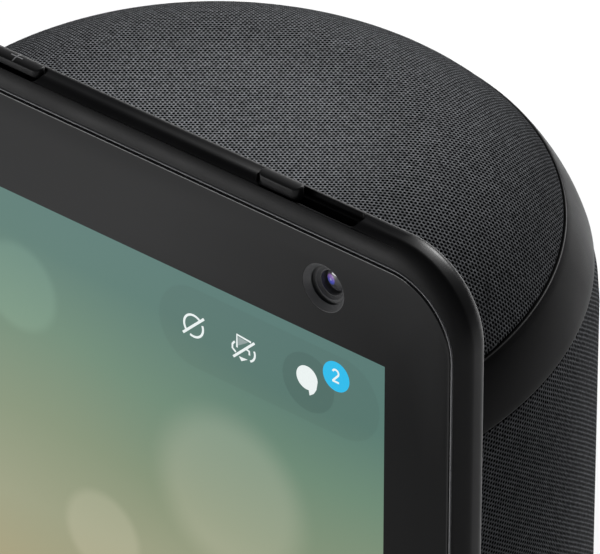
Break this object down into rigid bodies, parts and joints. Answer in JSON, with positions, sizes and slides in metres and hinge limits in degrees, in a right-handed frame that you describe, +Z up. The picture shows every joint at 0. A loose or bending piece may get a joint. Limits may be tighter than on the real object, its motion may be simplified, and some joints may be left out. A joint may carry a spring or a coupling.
{
  "type": "smart display",
  "caption": "Tabletop smart display: a wide tilting touch screen carried in front of a round, fabric-covered speaker drum that turns on a low fixed plinth.",
  "frame": {"origin": "centre of the foot's underside, on the turning axis, at the table's surface", "axes": "+Z up along the turning axis; the screen faces -Y; +X to the screen's right as seen from the front"},
  "size_m": [0.251, 0.1515, 0.2309],
  "materials": {
    "foot_rubber": "matte",
    "plate_steel": "satin",
    "dark_plastic": "satin",
    "inner_plastic": "matte",
    "rim_plastic": "fine matte",
    "button_plastic": "fine matte",
    "charcoal_knit": "open knit",
    "acetal": "smooth",
    "zinc": "cast",
    "screw_steel": "plated",
    "bronze": "machined",
    "circuit_board": "solder mask",
    "shield_can": "tinned",
    "sink_aluminium": "extruded",
    "magnet": "coated",
    "cone_paper": "pulp",
    "surround_rubber": "satin",
    "dome_silk": "coated silk",
    "cover_glass": "polished",
    "panel_glass": "lit",
    "light_guide": "diffuse",
    "frame_aluminium": "stamped",
    "gasket": "matte",
    "lens_glass": "coated"
  },
  "bodies": {
    "base": {"foot_pad": "foot_rubber", "base_plate": "plate_steel", "plinth": "dark_plastic", "base_screws": "screw_steel", "power_jack": "inner_plastic", "jack_pin": "screw_steel", "sun_gear": "acetal", "thrust_washer": "acetal", "glide_ring": "acetal", "retaining_clip": "plate_steel", "cable_guide": "acetal"},
    "speaker": {"turntable": "inner_plastic", "hub_bush": "bronze", "skirt_ring": "dark_plastic", "body_shell": "inner_plastic", "side_fabric": "charcoal_knit", "collar_band": "dark_plastic", "top_dome": "inner_plastic", "top_fabric": "charcoal_knit", "hinge_pocket": "dark_plastic", "speaker_box": "inner_plastic", "woofer_basket": "zinc", "woofer_magnet": "magnet", "woofer_cone": "cone_paper", "woofer_surround": "surround_rubber", "woofer_dust_cap": "cone_paper", "tweeter_bracket": "inner_plastic", "tweeter_bodies": "magnet", "tweeter_domes": "dome_silk", "main_board": "circuit_board", "board_shields": "shield_can", "heat_sink": "sink_aluminium", "drive_motor": "plate_steel", "motor_screws": "screw_steel", "hinge_arm": "zinc", "arm_screws": "screw_steel", "hinge_pin": "screw_steel", "hinge_washers": "screw_steel"},
    "pinion": {"motor_pinion": "bronze"},
    "display": {"rear_cover": "rim_plastic", "glass_gasket": "gasket", "front_glass": "cover_glass", "lcd_panel": "panel_glass", "backlight": "light_guide", "mid_frame": "frame_aluminium", "display_board": "circuit_board", "display_bracket": "zinc", "bracket_screws": "screw_steel", "camera_housing": "inner_plastic", "camera_lens": "lens_glass", "tact_switches": "acetal"},
    "mute_key": {"mute_button": "button_plastic"},
    "volume_down_key": {"volume_down_button": "button_plastic"},
    "volume_up_key": {"volume_up_button": "button_plastic"},
    "camera_shutter": {"shutter_knob": "button_plastic", "shutter_blade": "shield_can"}
  },
  "joints": [
    {"name": "body_turn", "type": "hinge", "parent": "base", "child": "speaker", "pos_m": [0, 0, 0.02], "axis": [0, 0, 1], "range_deg": [-175, 175]},
    {"name": "pinion_spin", "type": "hinge", "parent": "speaker", "child": "pinion", "pos_m": [0.035, 0, 0.011], "axis": [0, 0, 1], "range_deg": [-440, 440]},
    {"name": "screen_tilt", "type": "hinge", "parent": "speaker", "child": "display", "pos_m": [0, -0.066, 0.1444], "axis": [-1, 0, 0], "range_deg": [0, 40]},
    {"name": "mute_press", "type": "slide", "parent": "display", "child": "mute_key", "axis": [0, 0, -1], "range_m": [0, 0.0008], "stiffness_N_per_m": 600},
    {"name": "volume_down_press", "type": "slide", "parent": "display", "child": "volume_down_key", "axis": [0, 0, -1], "range_m": [0, 0.0008], "stiffness_N_per_m": 600},
    {"name": "volume_up_press", "type": "slide", "parent": "display", "child": "volume_up_key", "axis": [0, 0, -1], "range_m": [0, 0.0008], "stiffness_N_per_m": 600},
    {"name": "shutter_slide", "type": "slide", "parent": "display", "child": "camera_shutter", "axis": [1, 0, 0], "range_m": [0, 0.0125]}
  ],
  "couplings": [
    {"joint": "pinion_spin", "follows": "body_turn", "ratio": 2.5}
  ]
}
